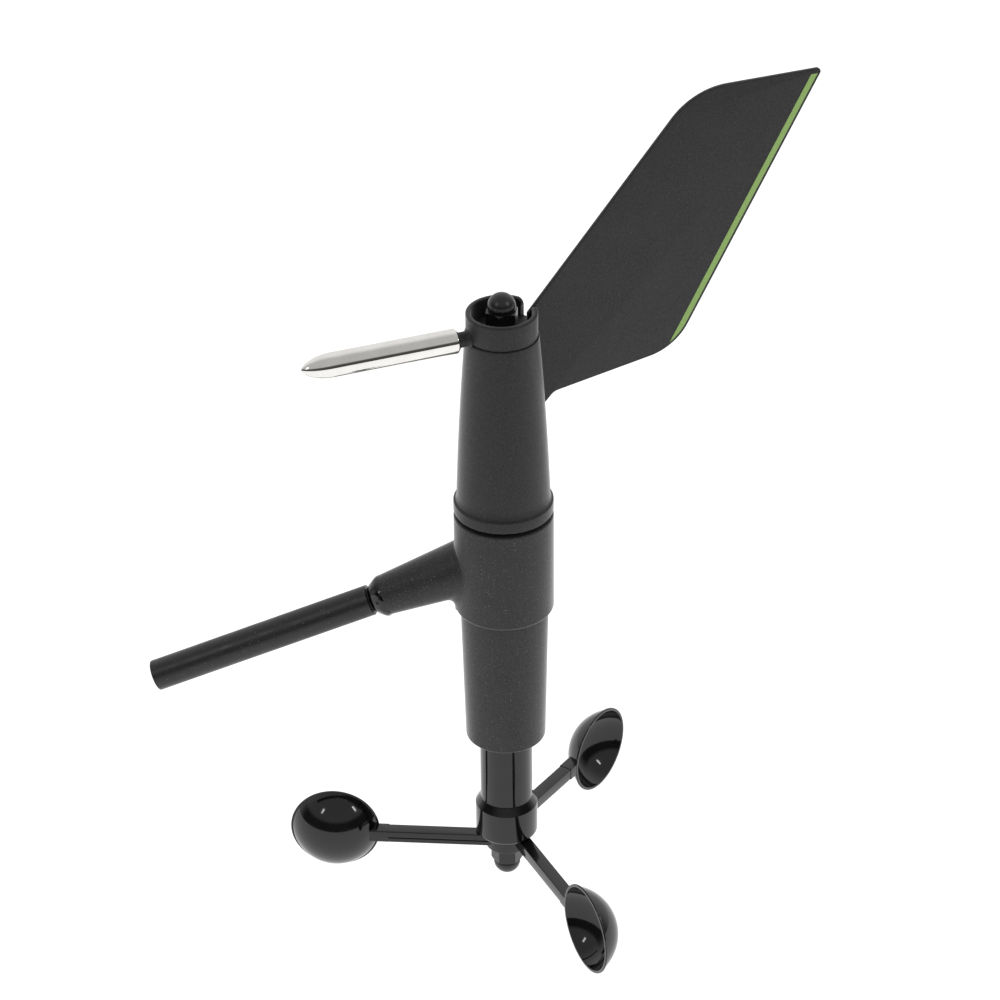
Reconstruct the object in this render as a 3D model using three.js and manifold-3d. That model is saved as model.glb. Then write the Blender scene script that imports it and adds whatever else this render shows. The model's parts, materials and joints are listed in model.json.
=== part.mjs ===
// Masthead cup anemometer: a wind vane above, a three-cup rotor below, and a sloping boom that
// carries both. Millimetres, +Z up.
//
// The object's origin is the centre of the boom's free end face. The boom climbs from there to
// the spindle axis. Heights along the spindle axis are measured from the main housing's top face.

import * as THREE from 'three';
import { mergeVertices } from 'three/addons/utils/BufferGeometryUtils.js';
import Module from 'manifold-3d';

const wasm = await Module();
wasm.setup();

const rad = THREE.MathUtils.degToRad;

// ---------------------------------------------------------------- driving dimensions
const GAP = 0.3;                      // between pieces that touch
const FIT = 0.2;                      // between turned pieces on one axis

const BOOM_LENGTH = 154;              // from the free end to the spindle axis
const BOOM_SLOPE = rad(22);
const BOOM_CROSSING = -19.3;          // height at which the boom axis meets the spindle axis

const VANE_HEADING = rad(20.5);       // rest headings, counter-clockwise from +X
const ARM_HEADINGS = [175.5, 55.5, 295.5].map(rad);

const housing = {
  radius: 20, wall: 2.4, deck: 2.6, bottom: -44, edge: 2, topChamfer: 0.6,
  collarRadius: 15.2, collarWall: 1.6, collarTop: 9,
};
const boss = { rootRadius: 11.3, mouthRadius: 8.3, noseStart: 52, noseEnd: 56.5, noseRadius: 6.7 };
const boom = {
  radius: 6.35, bore: 5.2, neckRadius: 4.9, neckBore: 3.6, innerEnd: 23, neckEnd: 58.3, boreEnd: 62,
  plugLength: 10, bossBore: 5.1, sealSeat: 50, sealSeatRadius: 6.3, sealEnd: 58,
};
const cable = { radius: 1.9, start: -14.4, turn: -19, height: -28, stations: [29, 45, 75, 105, 125] };
const barrel = {
  topRadius: 17.8, lowRadius: 16.35, bottom: -106.7, edge: 1, wall: 2.2, floor: 3, mouthRadius: 11.3,
  spigotTop: -36, spigotRadius: 17.3, grooveTop: -39, grooveBottom: -41, grooveDepth: 1.3,
  ledgeTop: -50.3, ledgeHeight: 2.4, ledgeRadius: 12.6,
};
const oRing = { orbit: 16.75, radius: 0.62 };
const skirt = {
  flangeBottom: 1.9, flangeTop: 7.6, flangeRadius: 20, lowRadius: 18.75, topRadius: 14.5, bow: 1.76,
  top: 80.8, wall: 1.7, roof: 2.8, boreRadius: 3.2,
};
const ring = {
  bottom: 81.1, top: 91.3, radius: 14.1, wall: 2, floor: 2.3, rim: 0.5, slotFrom: rad(24), slotTo: rad(52),
};
const blade = { thickness: 1.8, cornerTop: 30, cornerLow: 23, tip: 1.5, heel: 5 };
const counterweight = {
  height: 82.1, radius: 5.05, start: 18.4, shoulder: 69, tip: 81.9, chamfer: 0.9, bore: 2.3, boreDepth: 12,
};
const stub = { radius: 3.1, pegRadius: 2.05, pegLength: 11 };
const nut = { acrossFlats: 11.6, hexHeight: 7.3, domeRadius: 5.6, boreDepth: 8 };
const spindle = { radius: 3, seat: 3.2 };
const vaneSpindle = { bottom: -14, magnetBottom: -17.3, threadLength: 7.5 };
const rotorSpindle = { top: -34, magnetBottom: -33.7, bottom: -170.4 };
const magnet = { radius: 4, height: 3 };
const circlip = { radius: 4.7, height: 0.8 };
const washer = { radius: 6, height: 0.8 };
const bearing = { outer: 6.5, inner: 3.2, width: 5, race: 1.05, balls: 6, ballRadius: 1 };
const carrier = { radius: 8.2, bore: 6.7, flange: 2.6, top: 64, bottom: -131 };
const hub = {
  top: -94, barrelRadius: 10.7, bore: 9, boreEnd: -139, flareTop: -138.3, flareEnd: -141.8,
  collarRadius: 12.9, collarBottom: -156.6, stepRadius: 8.9, stepBottom: -163.8,
};
const arm = {
  width: 5.5, height: 5, bottom: -161.5, start: 5, end: 49.5, sideways: 3.1,
  ledgeWidth: 0.4, ledgeHeight: 2, socketEnd: 58.5, socketMargin: 0.2,
};
const cup = {
  orbit: 72.4, height: -159.2, rimRadius: 18.5, lipRadius: 18.8, lipHeight: 0.8, depth: 12.9, wall: 0.8,
};

const VANE_BEARINGS = [12, 58];
const ROTOR_BEARINGS = [-124, -60];
const CARRIER_FLANGE_RADIUS = 13;

// Sides of a turned piece: housings and skirt, middling pieces, small pieces.
const COARSE = 32;
const MEDIUM = 24;
const SMALL = 16;

// ---------------------------------------------------------------- materials
const paint = (color, roughness, metalness = 0) => () =>
  new THREE.MeshStandardMaterial({ color, roughness, metalness });
const mattePlastic = paint(0x3a3a3c, 0.62);
const glossPlastic = paint(0x141416, 0.18);
const blackTube = paint(0x2c2c2e, 0.45, 0.4);
const chrome = paint(0xd9d8d4, 0.08, 1);
const steel = paint(0xb4b6b8, 0.3, 1);
const brass = paint(0xb89a55, 0.35, 1);
const rubber = paint(0x18181a, 0.8);
const magnetGrey = paint(0x6a6c70, 0.4, 0.8);
const boardGreen = paint(0x1f5a38, 0.5);
const chipBlack = paint(0x1a1a1c, 0.5);
const cableGrey = paint(0x44464a, 0.6);

// ---------------------------------------------------------------- solid helpers
// Any closed geometry as a solid, with its faces turned outwards.
function solid(geometry) {
  const shape = geometry.clone();
  shape.deleteAttribute('normal');
  shape.deleteAttribute('uv');
  const merged = mergeVertices(shape, 1e-4);
  const vertProperties = new Float32Array(merged.attributes.position.array);
  const corners = Array.from(merged.index.array);
  const triVerts = [];
  for (let i = 0; i < corners.length; i += 3) {
    const [a, b, c] = corners.slice(i, i + 3);
    if (a !== b && b !== c && c !== a) triVerts.push(a, b, c);
  }
  const point = (i) => new THREE.Vector3().fromArray(vertProperties, 3 * i);
  let volume = 0;
  for (let i = 0; i < triVerts.length; i += 3) {
    volume += point(triVerts[i]).dot(point(triVerts[i + 1]).cross(point(triVerts[i + 2])));
  }
  if (volume < 0) triVerts.reverse();
  return new wasm.Manifold(new wasm.Mesh({
    numProp: 3, vertProperties, triVerts: new Uint32Array(triVerts),
  }));
}

function toGeometry(body) {
  const result = body.getMesh();
  const geometry = new THREE.BufferGeometry();
  geometry.setAttribute('position', new THREE.BufferAttribute(new Float32Array(result.vertProperties), 3));
  geometry.setIndex(new THREE.BufferAttribute(new Uint32Array(result.triVerts), 1));
  geometry.computeVertexNormals();
  return geometry;
}

const union = (first, ...rest) => rest.reduce((sum, next) => sum.add(next), first);
const cut = (first, ...rest) => rest.reduce((left, next) => left.subtract(next), first);

// A closed [radius, height] profile turned about Z.
function turned(profile, segments = COARSE) {
  const points = [...profile, profile[0]].map(([r, z]) => new THREE.Vector2(r, z));
  const first = points[0];
  if (first.x === 0 && points[points.length - 2].x === 0) points.pop();
  return solid(new THREE.LatheGeometry(points, segments).rotateX(Math.PI / 2));
}

function tube(outer, inner, low, high, segments = MEDIUM) {
  return turned([[inner, low], [outer, low], [outer, high], [inner, high]], segments);
}

function rod(radius, low, high, segments = MEDIUM) {
  return turned([[0, low], [radius, low], [radius, high], [0, high]], segments);
}

function block(width, depth, height, x, y, z) {
  return solid(new THREE.BoxGeometry(width, depth, height).translate(x, y, z));
}

// Points on an arc in a profile, from one angle to another.
function arc(r, z, radius, from, to, steps) {
  return Array.from({ length: steps + 1 }, (_, i) => {
    const angle = from + (to - from) * i / steps;
    return [r + radius * Math.cos(angle), z + radius * Math.sin(angle)];
  });
}

function place(body, matrix) {
  return body.transform(matrix.toArray());
}

// The boom's own frame: local Z runs from the spindle axis out to the free end.
const boomFrame = new THREE.Matrix4()
  .makeTranslation(0, 0, BOOM_CROSSING)
  .multiply(new THREE.Matrix4().makeRotationY(-(Math.PI / 2 + BOOM_SLOPE)));
const alongBoom = (body) => place(body, boomFrame);

const model = new THREE.Group();
const spindleAxis = new THREE.Group();
const vaneGroup = new THREE.Group();
const rotorGroup = new THREE.Group();
spindleAxis.position.set(
  BOOM_LENGTH * Math.cos(BOOM_SLOPE), 0, BOOM_LENGTH * Math.sin(BOOM_SLOPE) - BOOM_CROSSING);
spindleAxis.add(vaneGroup, rotorGroup);
model.add(spindleAxis);

function addPiece(group, name, body, material) {
  const mesh = new THREE.Mesh(toGeometry(body), material());
  mesh.name = name;
  group.add(mesh);
  return mesh;
}

// ---------------------------------------------------------------- fixed housings
function mainHousing() {
  const h = housing;
  const inside = h.radius - h.wall;
  const shell = turned([
    [0, 0], [h.radius - h.topChamfer, 0], [h.radius, -h.topChamfer], [h.radius, h.bottom + h.edge],
    ...arc(h.radius - h.edge, h.bottom + h.edge, h.edge, 0, -Math.PI / 2, 3).slice(1),
    [0, h.bottom],
  ]);
  const noseSteps = arc(
    boss.noseRadius, boss.noseStart, boss.mouthRadius - boss.noseRadius, 0, Math.PI / 2, 3);
  const bossSolid = alongBoom(turned([
    [0, 8], [boss.rootRadius, 8], ...noseSteps.slice(0, 3), [boss.noseRadius, boss.noseEnd - 2],
    [0, boss.noseEnd - 2],
  ], MEDIUM));
  const labyrinth = tube(h.collarRadius, h.collarRadius - h.collarWall, -1, h.collarTop, COARSE);
  const cavity = rod(inside, h.bottom - 1, -h.deck, COARSE);
  const deckBore = rod(carrier.radius + GAP, -10, 5);
  const bossBore = alongBoom(rod(boom.bossBore, 12, boss.noseEnd + 5));
  const sealSeat = alongBoom(rod(boom.sealSeatRadius, boom.sealSeat, boss.noseEnd + 5));
  const whole = union(shell, bossSolid, labyrinth);
  const screwHole = place(rod(screw.holeRadius, 0, 12, SMALL), screwFrame);
  return cut(whole, cavity, deckBore, bossBore, sealSeat, screwHole);
}

function lowerHousing() {
  const b = barrel;
  const topInside = b.topRadius - b.wall - 0.2;
  const floorTop = b.bottom + b.floor;
  return turned([
    [b.mouthRadius, b.bottom], [b.lowRadius - b.edge, b.bottom],
    ...arc(b.lowRadius - b.edge, b.bottom + b.edge, b.edge, -Math.PI / 2, 0, 3).slice(1),
    [b.topRadius, housing.bottom - GAP],
    [b.spigotRadius, housing.bottom - GAP],
    [b.spigotRadius, b.grooveBottom], [b.spigotRadius - b.grooveDepth, b.grooveBottom],
    [b.spigotRadius - b.grooveDepth, b.grooveTop], [b.spigotRadius, b.grooveTop],
    [b.spigotRadius, b.spigotTop],
    [topInside, b.spigotTop], [topInside, b.ledgeTop],
    [b.ledgeRadius, b.ledgeTop], [b.ledgeRadius, b.ledgeTop - b.ledgeHeight],
    [topInside, b.ledgeTop - 2 * b.ledgeHeight], [b.lowRadius - b.wall, floorTop], [b.mouthRadius, floorTop],
  ]);
}

function upperCarrier() {
  const flangeTop = -housing.deck - GAP;
  return turned([
    [carrier.bore, flangeTop - carrier.flange], [CARRIER_FLANGE_RADIUS, flangeTop - carrier.flange],
    [CARRIER_FLANGE_RADIUS, flangeTop], [carrier.radius, flangeTop],
    [carrier.radius, carrier.top], [carrier.bore, carrier.top],
  ], MEDIUM);
}

function lowerCarrier() {
  const flangeBottom = barrel.ledgeTop + GAP;
  const flangeRadius = barrel.topRadius - barrel.wall - 0.6;
  return turned([
    [carrier.bore, carrier.bottom], [carrier.radius, carrier.bottom], [carrier.radius, flangeBottom],
    [flangeRadius, flangeBottom], [flangeRadius, flangeBottom + carrier.flange],
    [carrier.bore, flangeBottom + carrier.flange],
  ], MEDIUM);
}

// The grub screw's own frame: local Z points out of the boss, to the far side and slightly down.
const SCREW_DISTANCE = 46;            // along the boom from the spindle axis
const SCREW_TURN = rad(-150);
const screw = { radius: 1.4, holeRadius: 1.7, inner: 5.4, outer: 8.3 };
const screwFrame = boomFrame.clone()
  .multiply(new THREE.Matrix4().makeTranslation(0, 0, SCREW_DISTANCE))
  .multiply(new THREE.Matrix4().makeRotationZ(SCREW_TURN))
  .multiply(new THREE.Matrix4().makeRotationX(Math.PI / 2));

function boomTube() {
  const b = boom;
  return alongBoom(turned([
    [b.neckBore, b.innerEnd], [b.neckRadius, b.innerEnd], [b.neckRadius, b.neckEnd],
    [b.radius, b.neckEnd], [b.radius, BOOM_LENGTH], [b.bore, BOOM_LENGTH], [b.bore, b.boreEnd],
    [b.neckBore, b.boreEnd],
  ], MEDIUM));
}

function boomSeal() {
  const inner = boom.neckRadius + FIT;
  const seat = boom.sealSeatRadius - FIT;
  return alongBoom(turned([
    [inner, boom.sealSeat + GAP], [seat, boom.sealSeat + GAP], [seat, boss.noseEnd - 1.7],
    [boss.noseRadius - 0.1, boss.noseEnd - 1.7], [boss.noseRadius - 0.2, boss.noseEnd],
    [inner, boom.sealEnd],
  ], MEDIUM));
}

function boomPlug() {
  return alongBoom(rod(boom.bore - FIT, BOOM_LENGTH - boom.plugLength, BOOM_LENGTH));
}

// The signal cable: from the connector under the board, down the boom, to the plug.
function signalCable() {
  const onBoom = (distance) => new THREE.Vector3(
    -distance * Math.cos(BOOM_SLOPE), 0, BOOM_CROSSING - distance * Math.sin(BOOM_SLOPE));
  const route = new THREE.CatmullRomCurve3([
    new THREE.Vector3(cable.start, 0, cable.height), new THREE.Vector3(cable.turn, 0, cable.height),
    ...cable.stations.map(onBoom), onBoom(BOOM_LENGTH - boom.plugLength - GAP),
  ]);
  const section = new THREE.Shape().absarc(0, 0, cable.radius, 0, 2 * Math.PI);
  return solid(new THREE.ExtrudeGeometry(section, { extrudePath: route, steps: 20, curveSegments: 4 }));
}

addPiece(spindleAxis, 'main_housing', mainHousing(), mattePlastic);
addPiece(spindleAxis, 'lower_housing', lowerHousing(), mattePlastic);
const grooveMiddle = (barrel.grooveTop + barrel.grooveBottom) / 2;
addPiece(spindleAxis, 'housing_o_ring',
  turned(arc(oRing.orbit, grooveMiddle, oRing.radius, 0, 2 * Math.PI, 6).slice(1)), rubber);
addPiece(spindleAxis, 'vane_bearing_carrier', upperCarrier(), mattePlastic);
addPiece(spindleAxis, 'rotor_bearing_carrier', lowerCarrier(), mattePlastic);
addPiece(spindleAxis, 'boom_tube', boomTube(), blackTube);
addPiece(spindleAxis, 'boom_seal', boomSeal(), rubber);
addPiece(spindleAxis, 'boom_plug', boomPlug(), glossPlastic);
addPiece(spindleAxis, 'boom_grub_screw',
  place(rod(screw.radius, screw.inner, screw.outer, SMALL), screwFrame), steel);
addPiece(spindleAxis, 'signal_cable', signalCable(), cableGrey);

// ---------------------------------------------------------------- electronics
const BOARD_TOP = -24;
const BOARD_THICKNESS = 1.6;
const boardUnderside = BOARD_TOP - BOARD_THICKNESS;
const STANDOFF_ORBIT = 10.5;
const STANDOFF_HEADINGS = [90, 210, 330].map(rad);

addPiece(spindleAxis, 'circuit_board', rod(15.5, boardUnderside, BOARD_TOP, COARSE), boardGreen);
addPiece(spindleAxis, 'angle_sensor', block(5, 4, 1.5, 0, 0, BOARD_TOP + GAP + 0.75), chipBlack);
addPiece(spindleAxis, 'speed_sensor', block(4, 3, 1.4, 0, 0, boardUnderside - GAP - 0.7), chipBlack);
addPiece(spindleAxis, 'board_connector', block(6, 8, 5, -11, 0, boardUnderside - GAP - 2.5), chipBlack);
STANDOFF_HEADINGS.forEach((heading, i) => {
  const high = -housing.deck - carrier.flange - 2 * GAP;
  const post = rod(2, BOARD_TOP + GAP, high, SMALL)
    .translate([STANDOFF_ORBIT * Math.cos(heading), STANDOFF_ORBIT * Math.sin(heading), 0]);
  addPiece(spindleAxis, `board_standoff_${i + 1}`, post, brass);
});

// ---------------------------------------------------------------- ball bearings
function ballCage(centre) {
  const orbit = (bearing.outer + bearing.inner) / 2;
  const cage = tube(orbit + 0.35, orbit - 0.35, centre - 0.6, centre + 0.6, SMALL);
  const balls = Array.from({ length: bearing.balls }, (_, i) => {
    const angle = 2 * Math.PI * i / bearing.balls;
    return solid(new THREE.OctahedronGeometry(bearing.ballRadius, 1)
      .translate(orbit * Math.cos(angle), orbit * Math.sin(angle), centre));
  });
  return union(cage, ...balls);
}

function addBearings(prefix, innerGroup, heights) {
  heights.forEach((centre, i) => {
    const low = centre - bearing.width / 2;
    const high = centre + bearing.width / 2;
    const name = `${prefix}_bearing_${i + 1}`;
    const outer = tube(bearing.outer, bearing.outer - bearing.race / 2, low, high);
    const inner = tube(bearing.inner + bearing.race / 2, bearing.inner, low, high);
    addPiece(spindleAxis, `${name}_outer_ring`, outer, steel);
    addPiece(innerGroup, `${name}_inner_ring`, inner, steel);
    addPiece(innerGroup, `${name}_ball_cage`, ballCage(centre), brass);
  });
}

addBearings('vane', vaneGroup, VANE_BEARINGS);
addBearings('rotor', rotorGroup, ROTOR_BEARINGS);

// ---------------------------------------------------------------- shared small pieces
// A domed hexagon nut whose open face lies at z = 0 and whose dome points up.
function domedNut() {
  const cornerRadius = nut.acrossFlats / Math.sqrt(3);
  const hexagon = solid(new THREE.CylinderGeometry(cornerRadius, cornerRadius, nut.hexHeight, 6)
    .rotateX(Math.PI / 2).translate(0, 0, nut.hexHeight / 2));
  const domeCentre = nut.hexHeight + 1.4;
  const dome = turned([
    [0, 1], [nut.domeRadius, 1], [nut.domeRadius, domeCentre],
    ...arc(0, domeCentre, nut.domeRadius, 0, Math.PI / 2, 5).slice(1, -1), [0, domeCentre + nut.domeRadius],
  ], MEDIUM);
  return cut(union(hexagon, dome), rod(spindle.seat, -1, nut.boreDepth));
}

const circlipAt = (low) => tube(circlip.radius, spindle.seat, low, low + circlip.height, SMALL);
const magnetAt = (low) => rod(magnet.radius, low, low + magnet.height, SMALL);

// ---------------------------------------------------------------- wind vane
// The skirt's outer wall: a slightly bowed cone above a plain flange.
const skirtWall = (height) => {
  const t = (height - skirt.flangeTop) / (skirt.top - skirt.flangeTop);
  return THREE.MathUtils.lerp(skirt.lowRadius, skirt.topRadius, t) + skirt.bow * t * (1 - t);
};

function skirtOutline(offset) {
  const steps = 5;
  return Array.from({ length: steps + 1 }, (_, i) => {
    const height = THREE.MathUtils.lerp(skirt.flangeTop, skirt.top, i / steps);
    return [skirtWall(height) + offset, height];
  });
}

function vaneSkirt() {
  const s = skirt;
  const roofUnderside = s.top - s.roof;
  const inside = skirtOutline(-s.wall).filter(([, z]) => z < roofUnderside);
  const topInside = skirtWall(roofUnderside) - s.wall;
  return turned([
    [s.boreRadius, s.top], [s.boreRadius, roofUnderside], [topInside, roofUnderside],
    ...inside.reverse(), [skirtWall(s.flangeTop) - s.wall, s.flangeBottom],
    [s.flangeRadius - 0.5, s.flangeBottom], [s.flangeRadius, s.flangeBottom + 0.5],
    [s.flangeRadius, s.flangeTop - 1], [s.flangeRadius - 0.8, s.flangeTop],
    ...skirtOutline(0),
  ]);
}

// The blade's outline as [distance from the axis, height], with its corners rounded.
function bladeShape() {
  const corners = [
    { at: [10.5, 82], radius: 0 },
    { at: [10.5, 88.4], radius: 0 },
    { at: [79, 171.5], radius: blade.cornerTop },
    { at: [133, 171.5], radius: blade.tip },
    { at: [73, 60.6], radius: blade.cornerLow },
    { at: [21.5, 51.3], radius: blade.heel },
    { at: [17.1, 46.5], radius: 0 },
    { at: [12.8, 82], radius: 0 },
  ];
  const shape = new THREE.Shape();
  corners.forEach(({ at, radius }, i) => {
    const here = new THREE.Vector2(...at);
    if (radius === 0) {
      if (i === 0) shape.moveTo(here.x, here.y);
      else shape.lineTo(here.x, here.y);
      return;
    }
    const before = new THREE.Vector2(...corners[i - 1].at).sub(here).normalize();
    const after = new THREE.Vector2(...corners[i + 1].at).sub(here).normalize();
    const half = Math.acos(before.dot(after)) / 2;
    const reach = radius / Math.tan(half);
    const steps = Math.max(2, Math.round(radius / 6));
    const towardsCentre = before.clone().add(after).normalize();
    const centre = here.clone().addScaledVector(towardsCentre, radius / Math.sin(half));
    const start = here.clone().addScaledVector(before, reach).sub(centre);
    const end = here.clone().addScaledVector(after, reach).sub(centre);
    const sweep = Math.atan2(start.cross(end), start.dot(end));
    for (let step = 0; step <= steps; step += 1) {
      const point = start.clone().rotateAround(new THREE.Vector2(), sweep * step / steps).add(centre);
      shape.lineTo(point.x, point.y);
    }
  });
  return shape;
}

// Ring, blade and counterweight stub, moulded in one. Local +X is the way the blade points.
function vaneMoulding() {
  const r = ring;
  const wall = turned([
    [spindle.seat, r.bottom], [r.radius, r.bottom], [r.radius, r.top - r.rim], [r.radius - r.rim, r.top],
    [r.radius - r.wall + r.rim, r.top], [r.radius - r.wall, r.top - r.rim],
    [r.radius - r.wall, r.bottom + r.floor], [spindle.seat, r.bottom + r.floor],
  ]);
  const flat = new THREE.ExtrudeGeometry(bladeShape(), { depth: blade.thickness, bevelEnabled: false })
    .translate(0, 0, -blade.thickness / 2).rotateX(Math.PI / 2);
  const stubLength = counterweight.start - 12.5 - GAP;
  const neck = sideways(rod(stub.radius, 12.5, 12.5 + stubLength, SMALL));
  const peg = sideways(rod(stub.pegRadius, 12.5, counterweight.start + stub.pegLength, SMALL));
  const slotShape = new THREE.Shape().moveTo(0, 0)
    .absarc(0, 0, 20, r.slotFrom - VANE_HEADING, r.slotTo - VANE_HEADING).lineTo(0, 0);
  const slotDepth = { depth: r.top - r.bottom, bevelEnabled: false, curveSegments: 3 };
  const slotCutter = new THREE.ExtrudeGeometry(slotShape, slotDepth);
  const slot = solid(slotCutter.translate(0, 0, r.bottom + r.floor));
  const skirtSpace = turned([[0, 20], ...skirtOutline(GAP).filter(([, z]) => z > 20), [0, skirt.top]]);
  const bladeSolid = cut(solid(flat), skirtSpace);
  return union(cut(wall, slot), cut(union(neck, peg), skirtSpace), bladeSolid);
}

// Turns a piece made along +Z so that it points along local -X at the counterweight's height.
function sideways(body) {
  const frame = new THREE.Matrix4().makeTranslation(0, 0, counterweight.height)
    .multiply(new THREE.Matrix4().makeRotationY(-Math.PI / 2));
  return place(body, frame);
}

function counterweightRod() {
  const c = counterweight;
  const noseLength = c.tip - c.shoulder;
  const nose = Array.from({ length: 7 }, (_, i) => {
    const t = i / 7;
    return [c.radius * Math.sqrt(1 - t ** 2), c.shoulder + noseLength * t];
  });
  const chamfer = [[c.radius - c.chamfer, c.start], [c.radius, c.start + c.chamfer]];
  const weight = turned([[0, c.start], ...chamfer, ...nose, [0, c.tip]], MEDIUM);
  return sideways(cut(weight, rod(c.bore, c.start - 1, c.start + c.boreDepth, SMALL)));
}

const wellFloor = ring.bottom + ring.floor;
const washerLow = wellFloor + GAP;
const vaneNutLow = washerLow + washer.height + GAP;
const vaneClipLow = VANE_BEARINGS[0] - bearing.width / 2 - GAP - circlip.height;
vaneGroup.rotation.z = VANE_HEADING;
addPiece(vaneGroup, 'vane', vaneMoulding(), mattePlastic);
addPiece(vaneGroup, 'vane_skirt', vaneSkirt(), mattePlastic);
addPiece(vaneGroup, 'counterweight', counterweightRod(), chrome);
addPiece(vaneGroup, 'vane_spindle',
  rod(spindle.radius, vaneSpindle.bottom, wellFloor + vaneSpindle.threadLength, SMALL), steel);
addPiece(vaneGroup, 'vane_washer',
  tube(washer.radius, spindle.seat, washerLow, washerLow + washer.height), steel);
addPiece(vaneGroup, 'vane_dome_nut', domedNut().translate([0, 0, vaneNutLow]), glossPlastic);
addPiece(vaneGroup, 'vane_circlip', circlipAt(vaneClipLow), steel);
addPiece(vaneGroup, 'vane_magnet', magnetAt(vaneSpindle.magnetBottom), magnetGrey);

// ---------------------------------------------------------------- cup rotor
function cupHub() {
  const h = hub;
  const body = turned([
    [h.bore, h.top], [h.bore, h.boreEnd], [spindle.seat, h.boreEnd], [spindle.seat, h.stepBottom],
    [h.stepRadius - 0.5, h.stepBottom], [h.stepRadius, h.stepBottom + 0.5], [h.stepRadius, h.collarBottom],
    [h.collarRadius - 2, h.collarBottom], [h.collarRadius - 0.6, h.collarBottom + 0.7],
    [h.collarRadius, h.collarBottom + 2.2], [h.collarRadius, h.flareEnd],
    [h.barrelRadius, h.flareTop], [h.barrelRadius, h.top],
  ], MEDIUM);
  const arms = ARM_HEADINGS.map((heading) => {
    const length = arm.end - arm.start;
    const middle = (arm.end + arm.start) / 2;
    const beam = block(length, arm.width, arm.height, middle, arm.sideways, arm.bottom + arm.height / 2);
    const ledge = block(length, arm.ledgeWidth + 1, arm.ledgeHeight, middle,
      arm.sideways + (arm.width + arm.ledgeWidth - 1) / 2, arm.bottom + arm.ledgeHeight / 2);
    return place(union(beam, ledge), new THREE.Matrix4().makeRotationZ(heading));
  });
  return cut(union(body, ...arms), rod(spindle.seat, h.stepBottom - 2, h.boreEnd + 1));
}

// One cup with its socket. Local +X points outwards along the arm; the cup opens towards -Y. The bowl
// is a shallow cap of a sphere whose centre lies on the open side of the rim.
function cupShell() {
  const c = cup;
  const outer = (c.rimRadius ** 2 + c.depth ** 2) / (2 * c.depth);
  const inner = outer - c.wall;
  const centre = outer - c.depth;
  const lipAngle = -Math.asin((centre + c.lipHeight) / outer);
  const mouthAngle = -Math.asin(centre / inner);
  const bowl = turned([
    [0, centre - outer], ...arc(0, centre, outer, -Math.PI / 2, lipAngle, 7).slice(1),
    [c.lipRadius, -c.lipHeight], [c.lipRadius, 0],
    ...arc(0, centre, inner, mouthAngle, -Math.PI / 2, 7).slice(0, -1), [0, centre - inner],
  ], MEDIUM);
  const facing = new THREE.Matrix4().makeTranslation(c.orbit, 0, c.height)
    .multiply(new THREE.Matrix4().makeRotationX(Math.PI / 2));
  const hollow = place(
    solid(new THREE.SphereGeometry(outer - c.wall / 2, MEDIUM, SMALL).translate(0, 0, centre)), facing);
  const start = arm.end + GAP;
  const margin = 2 * arm.socketMargin;
  const socket = block(arm.socketEnd - start, arm.width + margin, arm.height + margin,
    (start + arm.socketEnd) / 2, arm.sideways, arm.bottom + arm.height / 2);
  return union(place(bowl, facing), cut(socket, hollow));
}

addPiece(rotorGroup, 'cup_hub', cupHub(), glossPlastic);
ARM_HEADINGS.forEach((heading, i) => {
  addPiece(rotorGroup, `cup_${i + 1}`, cupShell(), glossPlastic).rotation.z = heading;
});
addPiece(rotorGroup, 'rotor_spindle',
  rod(spindle.radius, rotorSpindle.bottom, rotorSpindle.top, SMALL), steel);
addPiece(rotorGroup, 'rotor_dome_nut',
  domedNut().rotate([180, 0, 0]).translate([0, 0, hub.stepBottom - GAP]), glossPlastic);
addPiece(rotorGroup, 'rotor_circlip', circlipAt(ROTOR_BEARINGS[1] + bearing.width / 2 + GAP), steel);
addPiece(rotorGroup, 'rotor_magnet', magnetAt(rotorSpindle.magnetBottom), magnetGrey);

export default model;
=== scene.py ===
import json
import math

import bmesh
import bpy
from mathutils import Matrix, Vector


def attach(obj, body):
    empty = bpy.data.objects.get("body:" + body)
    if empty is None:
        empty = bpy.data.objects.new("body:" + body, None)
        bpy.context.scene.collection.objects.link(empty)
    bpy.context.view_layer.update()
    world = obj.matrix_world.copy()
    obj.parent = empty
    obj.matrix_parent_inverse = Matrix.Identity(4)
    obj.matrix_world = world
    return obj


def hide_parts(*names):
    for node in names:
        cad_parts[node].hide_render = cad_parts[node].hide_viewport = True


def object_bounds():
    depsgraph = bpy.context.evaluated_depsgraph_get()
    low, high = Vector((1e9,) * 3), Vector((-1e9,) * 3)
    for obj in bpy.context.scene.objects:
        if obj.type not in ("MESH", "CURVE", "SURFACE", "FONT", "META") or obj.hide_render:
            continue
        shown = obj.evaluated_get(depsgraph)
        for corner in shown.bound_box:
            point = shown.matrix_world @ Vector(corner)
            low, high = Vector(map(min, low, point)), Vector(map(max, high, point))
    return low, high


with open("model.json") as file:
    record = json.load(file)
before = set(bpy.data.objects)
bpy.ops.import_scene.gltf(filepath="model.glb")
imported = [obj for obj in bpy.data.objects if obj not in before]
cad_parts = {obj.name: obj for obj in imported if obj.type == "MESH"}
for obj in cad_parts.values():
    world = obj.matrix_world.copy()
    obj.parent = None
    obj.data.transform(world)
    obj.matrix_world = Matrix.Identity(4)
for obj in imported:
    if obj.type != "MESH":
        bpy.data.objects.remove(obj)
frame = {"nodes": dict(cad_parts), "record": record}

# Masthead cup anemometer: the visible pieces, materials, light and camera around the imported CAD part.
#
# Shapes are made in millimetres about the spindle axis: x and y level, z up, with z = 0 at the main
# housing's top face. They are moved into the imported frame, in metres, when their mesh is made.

cad_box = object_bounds()
scene = bpy.context.scene
MM = 0.001

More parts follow.
